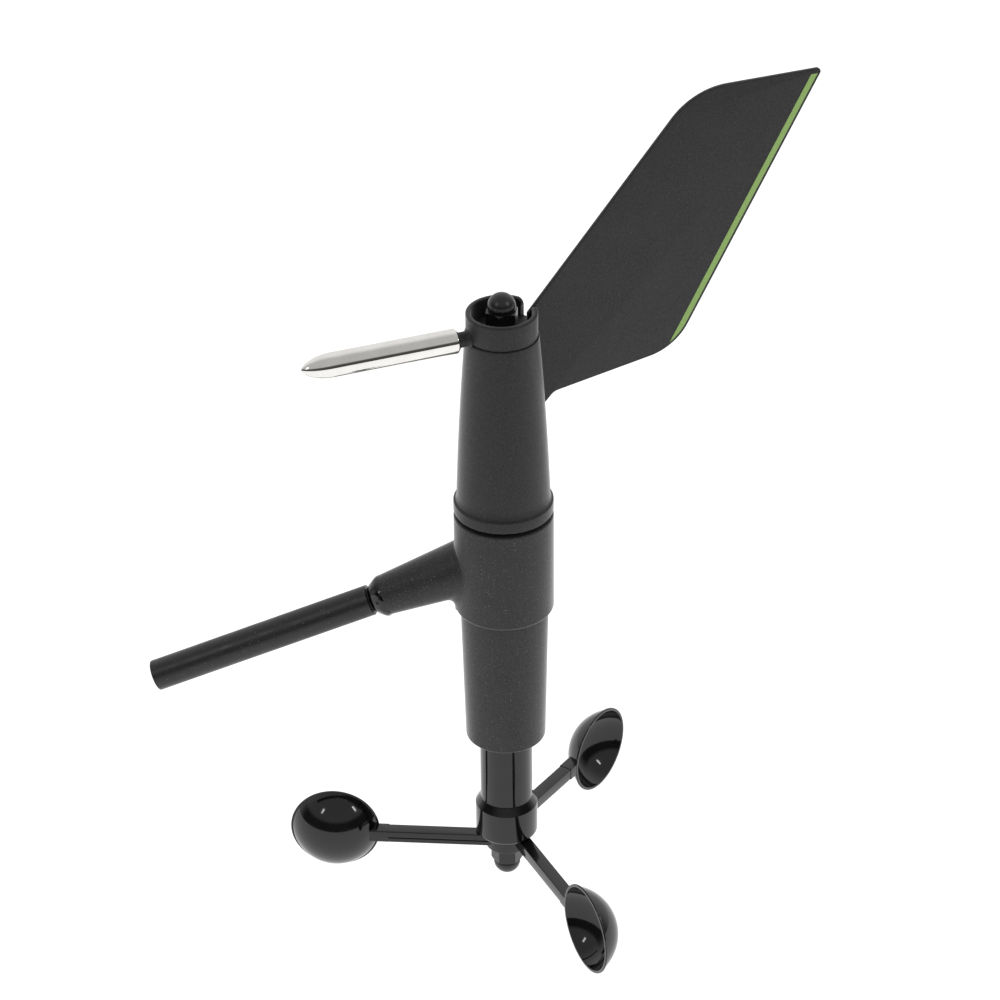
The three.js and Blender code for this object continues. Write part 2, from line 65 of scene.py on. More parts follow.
# ------------------------------------------------------------------ driving dimensions (millimetres)
joints = {joint["name"]: joint for joint in frame["record"]["behaviour"]["joints"]}
AXIS = Vector(joints["vane_spin"]["pos_m"]) / MM

BOOM_LENGTH = 154.0
BOOM_SLOPE = math.radians(22)
BOOM_CROSSING = -19.3
VANE_HEADING = math.radians(20.5)
ARM_HEADINGS = [math.radians(angle) for angle in (175.5, 55.5, 295.5)]

HOUSING_RADIUS = 20.0
HOUSING_BOTTOM = -44.0
HOUSING_WALL = 2.4
HOUSING_ROOF = 2.6
HOUSING_TOP_EDGE = 0.7
HOUSING_LOW_EDGE = 1.3
DECK_BORE = 8.5
DECK_COLLAR_INSIDE = 13.6
DECK_COLLAR_OUTSIDE = 15.2
DECK_COLLAR_TOP = 9.0

JOINT_GAP = 0.3
SPIGOT_RADIUS = 17.3
SPIGOT_TOP = -36.0
SPIGOT_BORE = 15.4
CARRIER_SEAT_RADIUS = 12.6
CARRIER_SEAT_TOP = -50.3
CARRIER_SEAT_BOTTOM = -52.7
BARREL_TOP_RADIUS = 17.8
BARREL_LOW_RADIUS = 16.35
BARREL_BOTTOM = -106.7
BARREL_MOUTH = 11.3
BARREL_WALL = 2.2
BARREL_FLOOR = 3.0

BOSS_ROOT_RADIUS = 11.3
BOSS_MOUTH_RADIUS = 8.3
BOSS_NOSE_START = 52.0
BOSS_NOSE_END = 54.5
BOSS_BORE = 5.1
SEAL_SEAT = 50.0
SEAL_SEAT_RADIUS = 6.3
SEAL_END = 58.0
BOOM_RADIUS = 6.35
BOOM_BORE = 5.2
NECK_RADIUS = 4.9
NECK_BORE = 3.6
NECK_START = 23.0
NECK_END = 58.3
BORE_STEP = 62.0
PLUG_LENGTH = 10.0
PLUG_RADIUS = 5.0
CONTACT_COUNT = 5
CONTACT_RADIUS = 0.65
CONTACT_ORBIT = 2.6
SCREW_DISTANCE = 46.0
SCREW_TURN = math.radians(-150)
SCREW_RADIUS = 1.4
SCREW_HOLE_RADIUS = 1.7
SCREW_INNER_END = 5.4
SCREW_OUTER_END = 8.3

SKIRT_BOTTOM = 1.9
SKIRT_FLANGE_TOP = 7.6
SKIRT_FLANGE_RADIUS = 20.0
SKIRT_TOP = 80.8
SKIRT_LOW_RADIUS = 18.75
SKIRT_TOP_RADIUS = 14.5
SKIRT_BOW = 1.76
SKIRT_WALL = 1.7
SKIRT_ROOF = 2.8

RING_BOTTOM = 81.1
RING_TOP = 91.3
RING_RADIUS = 14.1
RING_WALL = 2.0
WELL_FLOOR = 83.4
SLOT_TO = math.radians(52) - VANE_HEADING
BLADE_THICKNESS = 1.8
BLADE_TIP = (133.0, 171.5)
BLADE_LOW_CORNER = (73.0, 60.6)
BLADE_LOW_RADIUS = 23.0
BLADE_HEEL_CORNER = (21.5, 51.3)
STRIPE_WIDTH = 2.4
STRIPE_INSET = 1.2
STRIPE_TOP_INSET = 2.0
STRIPE_FILM = 0.04

WEIGHT_HEIGHT = 82.1
WEIGHT_RADIUS = 5.05
WEIGHT_START = 18.4
WEIGHT_SHOULDER = 69.0
WEIGHT_TIP = 81.9
WEIGHT_CHAMFER = 0.9
WEIGHT_BORE = 2.3
WEIGHT_BORE_DEPTH = 12.0
STUB_RADIUS = 3.1
STUB_START = 12.6
STUB_FLARE = 1.2

NUT_FLATS = 11.6
NUT_HEX_HEIGHT = 7.3
NUT_DOME_RADIUS = 5.6
SPINDLE_BORE = 3.2

HUB_TOP = -94.0
HUB_BORE = 9.0
HUB_FLOOR = -139.0
HUB_RADIUS = 10.7
HUB_FLARE_TOP = -138.3
HUB_FLARE_END = -141.8
COLLAR_RADIUS = 12.9
COLLAR_BOTTOM = -156.6
STEP_RADIUS = 8.9
STEP_BOTTOM = -163.8

ARM_BOTTOM = -161.5
ARM_HEIGHT = 5.0
ARM_WIDTH = 5.5
ARM_LEDGE_WIDTH = 0.4
ARM_LEDGE_HEIGHT = 2.0
ARM_END = 49.5
ARM_SIDEWAYS = 3.1
SOCKET_MARGIN = 0.2
SOCKET_END = 58.5

CUP_ORBIT = 72.4
CUP_HEIGHT = -159.2
CUP_RIM_RADIUS = 18.5
CUP_LIP_RADIUS = 18.8
CUP_LIP_HEIGHT = 0.8
CUP_DEPTH = 12.9
CUP_WALL = 0.8

FINE = 128
SMALL = 64


# ------------------------------------------------------------------ outlines
def round_corners(corners, step_angle=math.radians(9), closed=True):
    """Points of an outline given as (x, y, radius) corners, with each corner rounded by an arc."""
    points = []
    count = len(corners)
    for i, (x, y, radius) in enumerate(corners):
        here = Vector((x, y))
        if radius == 0 or (not closed and i in (0, count - 1)):
            points.append((x, y))
            continue
        before = (Vector(corners[i - 1][:2]) - here).normalized()
        after = (Vector(corners[(i + 1) % count][:2]) - here).normalized()
        half = before.angle(after) / 2
        centre = here + (before + after).normalized() * (radius / math.sin(half))
        start = here + before * (radius / math.tan(half)) - centre
        end = here + after * (radius / math.tan(half)) - centre
        sweep = math.atan2(start.x * end.y - start.y * end.x, start.dot(end))
        steps = max(2, math.ceil(abs(sweep) / step_angle))
        for step in range(steps + 1):
            angle = sweep * step / steps
            points.append((
                centre.x + start.x * math.cos(angle) - start.y * math.sin(angle),
                centre.y + start.x * math.sin(angle) + start.y * math.cos(angle),
            ))
    return points


def arc(x, y, radius, start, end, steps):
    """Points on a circular arc in a profile."""
    angles = [start + (end - start) * i / steps for i in range(steps + 1)]
    return [(x + radius * math.cos(a), y + radius * math.sin(a)) for a in angles]


def inset(outline, distance):
    """The outline moved inwards by a distance, for an anticlockwise outline."""
    moved = []
    for i, point in enumerate(outline):
        here = Vector(point)
        before = (here - Vector(outline[i - 1])).normalized()
        after = (Vector(outline[(i + 1) % len(outline)]) - here).normalized()
        normal = Vector((-before.y - after.y, before.x + after.x)).normalized()
        stretch = max(0.4, normal.dot(Vector((-before.y, before.x))))
        moved.append(tuple(here + normal * (distance / stretch)))
    return moved


# ------------------------------------------------------------------ closed shapes: (points, faces)
def loft(loops, closed_path=False):
    """A skin over loops with equal point counts, with a flat face on each end unless the path closes."""
    count = len(loops[0])
    points = [point for loop in loops for point in loop]
    faces = []
    pairs = len(loops) if closed_path else len(loops) - 1
    for i in range(pairs):
        low = i * count
        high = ((i + 1) % len(loops)) * count
        for j in range(count):
            k = (j + 1) % count
            faces.append((low + j, low + k, high + k, high + j))
    if not closed_path:
        faces.append(tuple(range(count)))
        faces.append(tuple(range((len(loops) - 1) * count, len(loops) * count)))
    return points, faces


def turned(profile, segments=FINE):
    """A closed profile of (radius, height) turned about z."""
    points = []
    faces = []
    rings = []
    for radius, height in profile:
        if radius < 1e-6:
            rings.append([len(points)] * segments)
            points.append((0.0, 0.0, height))
            continue
        rings.append(list(range(len(points), len(points) + segments)))
        for j in range(segments):
            angle = 2 * math.pi * j / segments
            points.append((radius * math.cos(angle), radius * math.sin(angle), height))
    for i, ring in enumerate(rings):
        following = rings[(i + 1) % len(rings)]
        for j in range(segments):
            k = (j + 1) % segments
            face = []
            for index in (ring[j], ring[k], following[k], following[j]):
                if index not in face:
                    face.append(index)
            if len(face) > 2:
                faces.append(tuple(face))
    return points, faces


def plate(outline, thickness, edge, steps=4):
    """An anticlockwise outline in x and z, thick along y, with rounded edges."""
    layers = []
    for side in (-1, 1):
        order = range(steps + 1) if side < 0 else range(steps, -1, -1)
        for step in order:
            angle = math.pi / 2 * step / steps
            offset = edge * (1 - math.sin(angle))
            depth = side * (thickness / 2 - edge + edge * math.cos(angle))
            layers.append([(x, depth, z) for x, z in inset(outline, offset)])
    return loft(layers)


def bar(section, start, end):
    """A section in y and z, drawn out along x."""
    return loft([[(x, y, z) for y, z in section] for x in (start, end)])


def moved(shape, matrix):
    """The shape with its points carried by a matrix."""
    points, faces = shape
    return [tuple(matrix @ Vector(point)) for point in points], faces


boom_frame = Matrix.Translation((0, 0, BOOM_CROSSING)) @ Matrix.Rotation(-math.pi / 2 - BOOM_SLOPE, 4, "Y")
screw_frame = (boom_frame @ Matrix.Translation((0, 0, SCREW_DISTANCE))
               @ Matrix.Rotation(SCREW_TURN, 4, "Z") @ Matrix.Rotation(math.pi / 2, 4, "X"))
vane_frame = Matrix.Rotation(VANE_HEADING, 4, "Z")
weight_frame = (vane_frame @ Matrix.Translation((0, 0, WEIGHT_HEIGHT))
                @ Matrix.Rotation(-math.pi / 2, 4, "Y"))


# ------------------------------------------------------------------ mesh objects
def solid(name, shape, matrix=None):
    """A mesh object of the shape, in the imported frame, with its faces turned outwards."""
    points, faces = moved(shape, matrix) if matrix else shape
    mesh = bpy.data.meshes.new(name)
    mesh.from_pydata([(AXIS + Vector(point)) * MM for point in points], [], faces)
    work = bmesh.new()
    work.from_mesh(mesh)
    bmesh.ops.remove_doubles(work, verts=work.verts, dist=1e-7)
    bmesh.ops.recalc_face_normals(work, faces=work.faces)
    work.to_mesh(mesh)
    work.free()
    obj = bpy.data.objects.new(name, mesh)
    scene.collection.objects.link(obj)
    return obj


def combine(obj, operation, *tools):
    """Joins or cuts obj with each tool, and removes the tools."""
    for tool in tools:
        step = obj.modifiers.new("step", "BOOLEAN")
        step.operation = operation
        step.solver = "EXACT"
        step.object = tool
        evaluated = obj.evaluated_get(bpy.context.evaluated_depsgraph_get())
        result = bpy.data.meshes.new_from_object(evaluated)
        obj.modifiers.clear()
        old = obj.data
        obj.data = result
        bpy.data.meshes.remove(old)
        bpy.data.objects.remove(tool)
    return obj


replaced = set()


def finish_piece(obj, body, material, replaces=(), sharp=32):
    """Shades a piece, gives it its material, and ties it to its body and CAD nodes."""
    mesh = obj.data
    for polygon in mesh.polygons:
        polygon.use_smooth = True
    mesh.set_sharp_from_angle(angle=math.radians(sharp))
    mesh.materials.clear()
    mesh.materials.append(material)
    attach(obj, body)
    if replaces:
        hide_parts(*replaces)
        replaced.update(replaces)
    return obj


# ------------------------------------------------------------------ material nodes
class Nodes:
    """A new material's node tree, in object coordinates (metres)."""

    def __init__(self, name):
        self.material = bpy.data.materials.new(name)
        self.material.use_nodes = True
        self.tree = self.material.node_tree
        self.shader = self.tree.nodes["Principled BSDF"]
        self.place = self.add("ShaderNodeTexCoord").outputs["Object"]

    def add(self, kind, **settings):
        node = self.tree.nodes.new(kind)
        for key, value in settings.items():
            setattr(node, key, value)
        return node

    def link(self, source, target):
        self.tree.links.new(source, target)

    def noise(self, size_mm, detail=2.0, stretch=None, turn=0.0):
        """Noise with features about size_mm across, optionally stretched along the axes."""
        place = self.place
        if stretch:
            mapping = self.add("ShaderNodeMapping")
            mapping.vector_type = "TEXTURE"
            mapping.inputs["Scale"].default_value = stretch
            mapping.inputs["Rotation"].default_value = (0, 0, turn)
            self.link(place, mapping.inputs["Vector"])
            place = mapping.outputs["Vector"]
        texture = self.add("ShaderNodeTexNoise")
        texture.inputs["Scale"].default_value = 1000.0 / size_mm
        texture.inputs["Detail"].default_value = detail
        self.link(place, texture.inputs["Vector"])
        return texture.outputs["Fac"]

    def spread(self, value, low, high, to_low, to_high):
        """The value's range low..high mapped to another range."""
        node = self.add("ShaderNodeMapRange")
        node.inputs["From Min"].default_value = low
        node.inputs["From Max"].default_value = high
        node.inputs["To Min"].default_value = to_low
        node.inputs["To Max"].default_value = to_high
        self.link(value, node.inputs["Value"])
        return node.outputs["Result"]

    def mix(self, factor, first, second):
        """A colour between two colours, by a factor. Either colour may be an output."""
        node = self.add("ShaderNodeMix", data_type="RGBA")
        self.link(factor, node.inputs["Factor"])
        for socket, colour in ((node.inputs[6], first), (node.inputs[7], second)):
            if isinstance(colour, tuple):
                socket.default_value = (*colour, 1)
            else:
                self.link(colour, socket)
        return node.outputs[2]

    def bump(self, height, depth_mm, strength=1.0):
        node = self.add("ShaderNodeBump")
        node.inputs["Distance"].default_value = depth_mm * MM
        node.inputs["Strength"].default_value = strength
        self.link(height, node.inputs["Height"])
        self.link(node.outputs["Normal"], self.shader.inputs["Normal"])

    def colour(self, output):
        self.link(output, self.shader.inputs["Base Color"])

    def roughness(self, output):
        self.link(output, self.shader.inputs["Roughness"])


def moulded_plastic(name, dark, pale, speck, rough_low, rough_high):
    """Satin-matte moulding: eroded grain, scattered pale specks and faint flow marks."""
    nodes = Nodes(name)
    grain = nodes.noise(0.5, 4)
    tone = nodes.mix(nodes.spread(grain, 0.36, 0.66, 0, 1), dark, pale)
    flow = nodes.spread(nodes.noise(14, 3), 0.4, 0.75, 0, 0.35)
    tone = nodes.mix(flow, tone, pale)
    specks = nodes.spread(nodes.noise(0.55, 0), 0.74, 0.79, 0, 1)
    nodes.colour(nodes.mix(specks, tone, speck))
    nodes.shader.inputs["Specular IOR Level"].default_value = 0.42
    nodes.shader.inputs["Sheen Weight"].default_value = 1.0
    nodes.shader.inputs["Sheen Roughness"].default_value = 0.3
    nodes.roughness(nodes.spread(nodes.noise(0.9, 4), 0.3, 0.7, rough_low, rough_high))
    nodes.bump(grain, 0.035, 0.6)
    return nodes.material


def gloss_moulding(name, base):
    """Glossy moulding with slight ripple and handling haze."""
    nodes = Nodes(name)
    haze = nodes.spread(nodes.noise(9, 4), 0.4, 0.7, 0, 1)
    nodes.colour(nodes.mix(haze, base, tuple(1.8 * c for c in base)))
    nodes.roughness(nodes.spread(nodes.noise(3, 5), 0.3, 0.75, 0.05, 0.13))
    nodes.bump(nodes.noise(7, 1), 0.02, 0.35)
    return nodes.material


def turned_metal(name, base, rough_low, rough_high, marks_mm, turn=0.0, depth=0.004):
    """Metal with fine marks across its length, which runs along x after the turn."""
    nodes = Nodes(name)
    marks = nodes.noise(marks_mm, 2, (1.0, 40.0, 40.0), turn)
    stain = nodes.spread(nodes.noise(6, 4), 0.35, 0.75, 0, 1)
    nodes.colour(nodes.mix(stain, base, tuple(0.9 * c for c in base)))
    nodes.shader.inputs["Metallic"].default_value = 1.0
    nodes.roughness(nodes.spread(nodes.noise(4, 4), 0.3, 0.7, rough_low, rough_high))
    nodes.bump(marks, depth, 0.6)
    return nodes.material


def coated_tube(name):
    """Satin-matte black coating on the boom, with orange-peel, slight wear and the odd pale speck."""
    nodes = Nodes(name)
    wear = nodes.spread(nodes.noise(3, 6), 0.62, 0.75, 0, 1)
    tone = nodes.mix(wear, (0.006, 0.006, 0.0064), (0.018, 0.018, 0.019))
    specks = nodes.spread(nodes.noise(0.6, 0), 0.76, 0.80, 0, 1)
    nodes.colour(nodes.mix(specks, tone, (0.07, 0.07, 0.07)))
    nodes.roughness(nodes.spread(nodes.noise(6, 4), 0.3, 0.7, 0.34, 0.46))
    nodes.bump(nodes.noise(0.6, 3), 0.02, 0.5)
    return nodes.material


def simple_grain(name, first, second, size_mm, rough_low, rough_high, depth, metallic=0.0):
    """A plain procedural finish: mottled colour, varied roughness and a fine bump."""
    nodes = Nodes(name)
    nodes.colour(nodes.mix(nodes.spread(nodes.noise(size_mm, 4), 0.35, 0.65, 0, 1), first, second))
    nodes.shader.inputs["Metallic"].default_value = metallic
    nodes.roughness(nodes.spread(nodes.noise(3 * size_mm, 3), 0.3, 0.7, rough_low, rough_high))
    nodes.bump(nodes.noise(size_mm, 3), depth, 0.5)
    return nodes.material


materials = {
    "housing_plastic": moulded_plastic(
        "housing moulding", (0.002, 0.002, 0.0021), (0.026, 0.026, 0.0265), (0.09, 0.09, 0.09), 0.42, 0.58),
    "vane_plastic": moulded_plastic(
        "vane moulding", (0.002, 0.002, 0.0021), (0.017, 0.017, 0.0175), (0.03, 0.03, 0.03), 0.44, 0.60),
    "gloss_plastic": gloss_moulding("gloss moulding", (0.0035, 0.0035, 0.0037)),
    "boom_coating": coated_tube("boom coating"),
    "chrome": turned_metal("chromed weight", (0.80, 0.785, 0.76), 0.04, 0.09, 0.5, VANE_HEADING),
    "steel": simple_grain(
        "stainless steel", (0.50, 0.51, 0.52), (0.60, 0.61, 0.62), 0.4, 0.22, 0.34, 0.004, 1.0),
    "brass": simple_grain(
        "brass", (0.55, 0.42, 0.20), (0.66, 0.52, 0.27), 0.6, 0.25, 0.38, 0.004, 1.0),
    "rubber": simple_grain(
        "sealant", (0.0015, 0.0015, 0.0015), (0.004, 0.004, 0.004), 1.5, 0.05, 0.14, 0.06),
    "magnet": simple_grain(
        "magnet", (0.19, 0.19, 0.20), (0.27, 0.27, 0.28), 0.3, 0.3, 0.5, 0.01, 0.8),
    "board": simple_grain(
        "circuit board", (0.012, 0.10, 0.04), (0.02, 0.15, 0.06), 1.2, 0.3, 0.45, 0.02),
    "chip": simple_grain(
        "chip moulding", (0.012, 0.012, 0.013), (0.02, 0.02, 0.022), 0.3, 0.45, 0.6, 0.01),
    "plug_plastic": simple_grain(
        "plug moulding", (0.010, 0.010, 0.011), (0.018, 0.018, 0.02), 0.8, 0.2, 0.35, 0.02),
    "cable_jacket": simple_grain(
        "cable jacket", (0.05, 0.05, 0.055), (0.075, 0.075, 0.08), 0.7, 0.5, 0.65, 0.03),
}
satin_nut = simple_grain(
    "satin cap nut", (0.004, 0.004, 0.0042), (0.011, 0.011, 0.0115), 0.6, 0.26, 0.36, 0.012)
stripe_ink = simple_grain(
    "stripe ink", (0.255, 0.430, 0.105), (0.300, 0.475, 0.130), 0.5, 0.38, 0.5, 0.006)


# ------------------------------------------------------------------ main housing and boss
def boss_radius(distance):
    """The boss's plain cone, before the root fillet, at a distance from the spindle axis."""
    t = (distance - HOUSING_RADIUS) / (BOSS_NOSE_START - HOUSING_RADIUS)
    return BOSS_ROOT_RADIUS + (BOSS_MOUTH_RADIUS - BOSS_ROOT_RADIUS) * t


def on_boss(distance, radius, turn):
    """A point about the boom's axis. Turn 0 is its upper side."""
    return boom_frame @ Vector((radius * math.cos(turn), radius * math.sin(turn), distance))


def wall_distance(turn, radius_at):
    """How far along the boom a line at a radius leaves the housing's cylinder."""
    low, high = 0.0, 45.0
    for _ in range(40):
        middle = (low + high) / 2
        point = on_boss(middle, radius_at(middle), turn)
        if math.hypot(point.x, point.y) < HOUSING_RADIUS:
            low = middle
        else:
            high = middle
    return low


def boss_loop(turn):
    """The boss's outline at one turn: inside the housing, root fillet, cone, rounded nose."""
    start = wall_distance(turn, boss_radius)
    root = boss_radius(start)
    fillet = 1.4 + 1.5 * (1 - math.cos(turn))
    reach = wall_distance(turn, lambda _: root + fillet)
    corner = [(reach, root + fillet, 0), (start, root, fillet), (40.0, boss_radius(40.0), 0)]
    blend = round_corners(corner, math.radians(200), closed=False)
    # The same number of points at every turn: the fillet is resampled from its two tangent points.
    first, last = Vector(blend[1]), Vector(blend[-2])
    inner = Vector((start, root))
    steps = 8
    curve = []
    for i in range(steps + 1):
        t = i / steps
        curve.append(first * (1 - t) ** 2 + inner * 2 * t * (1 - t) + last * t ** 2)
    nose = arc(BOSS_NOSE_START, BOSS_MOUTH_RADIUS - 2.2, 2.2, math.pi / 2, 0.25, 6)
    outline = [(6.0, curve[0].y - 3.0), (curve[0].x - 2.5, curve[0].y)]
    outline += [(point.x, point.y) for point in curve]
    outline += [(42.0, boss_radius(42.0))] + nose + [(BOSS_NOSE_END, BOSS_BORE)]
    return [on_boss(distance, radius, turn) for distance, radius in outline]


def boss_solid():
    """The boss as one loop of outline for each turn about the boom, closed at both ends."""
    loops = [boss_loop(2 * math.pi * i / FINE) for i in range(FINE)]
    points = [tuple(point) for loop in loops for point in loop]
    count = len(loops[0])
    faces = []
    for i in range(FINE):
        low, high = i * count, ((i + 1) % FINE) * count
        for j in range(count - 1):
            faces.append((low + j, low + j + 1, high + j + 1, high + j))
    faces.append(tuple(i * count for i in range(FINE)))
    faces.append(tuple(i * count + count - 1 for i in range(FINE)))
    return points, faces


def rod(radius, low, high, segments=SMALL):
    """A plain round rod along z."""
    return turned([(0, low), (radius, low), (radius, high), (0, high)], segments)


housing_profile = round_corners([
    (0, 0, 0), (HOUSING_RADIUS, 0, HOUSING_TOP_EDGE), (HOUSING_RADIUS, HOUSING_BOTTOM, HOUSING_LOW_EDGE),
    (0, HOUSING_BOTTOM, 0),
])
main_housing = solid("main_housing_body", turned(housing_profile))
deck_collar = [
    (DECK_COLLAR_INSIDE, -1), (DECK_COLLAR_OUTSIDE, -1),
    (DECK_COLLAR_OUTSIDE, DECK_COLLAR_TOP), (DECK_COLLAR_INSIDE, DECK_COLLAR_TOP),
]
combine(main_housing, "UNION",
        solid("boss", boss_solid()),
        solid("collar", turned(deck_collar)))
screw_hole = [
    (0, 0), (SCREW_HOLE_RADIUS, 0), (SCREW_HOLE_RADIUS, SCREW_OUTER_END),
    (SCREW_HOLE_RADIUS + 0.4, SCREW_OUTER_END + 0.9), (SCREW_HOLE_RADIUS + 0.4, 14), (0, 14),
]
combine(main_housing, "DIFFERENCE",
        solid("cavity", rod(HOUSING_RADIUS - HOUSING_WALL, HOUSING_BOTTOM - 1, -HOUSING_ROOF, FINE)),
        solid("deck bore", rod(DECK_BORE, -10, 5)),
        solid("boss bore", rod(BOSS_BORE, 12, BORE_STEP), boom_frame),
        solid("seal seat", rod(SEAL_SEAT_RADIUS, SEAL_SEAT, BORE_STEP), boom_frame),
        solid("screw hole", turned(screw_hole, SMALL), screw_frame))
finish_piece(main_housing, "housing", materials["housing_plastic"], ["main_housing"])

barrel_inside = BARREL_LOW_RADIUS - BARREL_WALL
barrel_floor = BARREL_BOTTOM + BARREL_FLOOR
lower_profile = round_corners([
    (BARREL_MOUTH, BARREL_BOTTOM, 0.4), (BARREL_LOW_RADIUS, BARREL_BOTTOM, 0.9),
    (BARREL_TOP_RADIUS, HOUSING_BOTTOM - JOINT_GAP, 0.2), (SPIGOT_RADIUS, HOUSING_BOTTOM - JOINT_GAP, 0),
    (SPIGOT_RADIUS, SPIGOT_TOP, 0.3), (SPIGOT_BORE, SPIGOT_TOP, 0), (SPIGOT_BORE, CARRIER_SEAT_TOP, 0),
    (CARRIER_SEAT_RADIUS, CARRIER_SEAT_TOP, 0), (CARRIER_SEAT_RADIUS, CARRIER_SEAT_BOTTOM, 0),
    (SPIGOT_BORE, CARRIER_SEAT_BOTTOM - 2.4, 0),
    (barrel_inside, barrel_floor, 0), (BARREL_MOUTH, barrel_floor, 0),
])
lower_housing = solid("lower_housing_body", turned(lower_profile))
finish_piece(lower_housing, "housing", materials["housing_plastic"], ["lower_housing"])


# ------------------------------------------------------------------ boom, seal, plug and screw
tube_profile = round_corners([
    (NECK_BORE, NECK_START, 0), (NECK_RADIUS, NECK_START, 0.2), (NECK_RADIUS, NECK_END, 0),
    (BOOM_RADIUS, NECK_END, 0.25), (BOOM_RADIUS, BOOM_LENGTH, 0.25), (BOOM_BORE, BOOM_LENGTH, 0.15),
    (BOOM_BORE, BORE_STEP, 0), (NECK_BORE, BORE_STEP, 0),
])
boom_tube = solid("boom_tube_body", turned(tube_profile, SMALL), boom_frame)
finish_piece(boom_tube, "housing", materials["boom_coating"], ["boom_tube"])


def seal_solid():
    """A hand-laid bead of sealant from the boss's rounded nose to the tube's neck, fuller below."""
    loops = []
    for i in range(FINE):
        turn = 2 * math.pi * i / FINE
        below = 0.5 * (1 - math.cos(turn))
        wobble = 0.16 * math.sin(3 * turn + 0.7) + 0.10 * math.sin(7 * turn + 2.1)
        wobble += 0.05 * math.sin(13 * turn)
        swell = below ** 2 + wobble
        outline = [
            (SEAL_SEAT + 0.3, NECK_RADIUS + 0.05), (SEAL_SEAT + 0.3, 6.1), (BOSS_NOSE_START - 0.9, 7.6),
            (BOSS_NOSE_START - 0.7 + 0.5 * wobble, 8.32),
            (BOSS_NOSE_START + 0.2 + 0.3 * wobble, 8.42 + 0.12 * swell),
            (BOSS_NOSE_START + 1.2, 8.2 + 0.75 * swell), (BOSS_NOSE_START + 2.3, 7.55 + 1.0 * swell),
            (BOSS_NOSE_START + 3.4, 6.85 + 0.8 * swell), (BOSS_NOSE_START + 4.5, 6.1 + 0.5 * swell),
            (SEAL_END - 0.6 + 0.3 * wobble, NECK_RADIUS + 0.55), (SEAL_END - 0.2, NECK_RADIUS + 0.05),
        ]
        loops.append([tuple(on_boss(distance, radius, turn)) for distance, radius in outline])
    return loft(loops, closed_path=True)


def ball(radius, centre):
    """A round cutter for a bubble in the sealant."""
    outline = [(0, -radius)] + arc(0, 0, radius, -math.pi / 2, math.pi / 2, 12)[1:-1] + [(0, radius)]
    return moved(turned(outline, 24), Matrix.Translation(centre))


boom_seal = solid("boom_seal_bead", seal_solid())
combine(boom_seal, "DIFFERENCE",
        solid("burst bubble", ball(0.85, on_boss(54.6, 7.75, math.radians(-76)))),
        solid("small bubble", ball(0.45, on_boss(53.3, 8.35, math.radians(-66)))))
finish_piece(boom_seal, "housing", materials["rubber"], ["boom_seal"], sharp=60)

# The plug's face is set back a little inside its rim, and the contacts stand on it.
plug_face = BOOM_LENGTH - 0.8
plug_profile = round_corners([
    (0, BOOM_LENGTH - PLUG_LENGTH, 0), (PLUG_RADIUS, BOOM_LENGTH - PLUG_LENGTH, 0.3),
    (PLUG_RADIUS, BOOM_LENGTH, 0.25), (PLUG_RADIUS - 0.7, BOOM_LENGTH, 0.2),
    (PLUG_RADIUS - 0.9, plug_face, 0.2), (0, plug_face, 0),
])
boom_plug = solid("boom_plug_body", turned(plug_profile, SMALL), boom_frame)
finish_piece(boom_plug, "housing", materials["plug_plastic"], ["boom_plug"])

pad_shape = turned(round_corners([
    (0, plug_face - 0.1, 0), (CONTACT_RADIUS, plug_face - 0.1, 0), (CONTACT_RADIUS, plug_face + 0.25, 0.12),
    (0, plug_face + 0.25, 0),
]), 24)
pads = []
for i in range(CONTACT_COUNT):
    turn = Matrix.Rotation(2 * math.pi * i / CONTACT_COUNT, 4, "Z")
    around = turn @ Matrix.Translation((CONTACT_ORBIT, 0, 0))
    pads.append(moved(pad_shape, boom_frame @ around))
pad_points = [point for points, _ in pads for point in points]
pad_faces = []
for n, (_, faces) in enumerate(pads):
    first = n * len(pads[0][0])
    pad_faces += [tuple(index + first for index in face) for face in faces]
boom_contacts = solid("boom_contacts", (pad_points, pad_faces))
finish_piece(boom_contacts, "housing", materials["brass"])

grub_screw = solid("grub_screw_body", turned(round_corners([
    (0, SCREW_INNER_END, 0), (SCREW_RADIUS, SCREW_INNER_END, 0.3), (SCREW_RADIUS, SCREW_OUTER_END, 0.2),
    (0, SCREW_OUTER_END, 0),
]), SMALL), screw_frame)
hexagon = [(0.75 * math.cos(math.pi * i / 3), 0.75 * math.sin(math.pi * i / 3)) for i in range(6)]
combine(grub_screw, "DIFFERENCE",
        solid("hex socket", loft([[(x, y, z) for x, y in hexagon] for z in (6.8, 9.0)]), screw_frame))
finish_piece(grub_screw, "housing", materials["steel"], ["boom_grub_screw"])


# ------------------------------------------------------------------ wind vane
def skirt_radius(height):
    """The skirt's slightly bowed cone."""
    t = (height - SKIRT_FLANGE_TOP) / (SKIRT_TOP - SKIRT_FLANGE_TOP)
    return SKIRT_LOW_RADIUS - (SKIRT_LOW_RADIUS - SKIRT_TOP_RADIUS) * t + SKIRT_BOW * t * (1 - t)


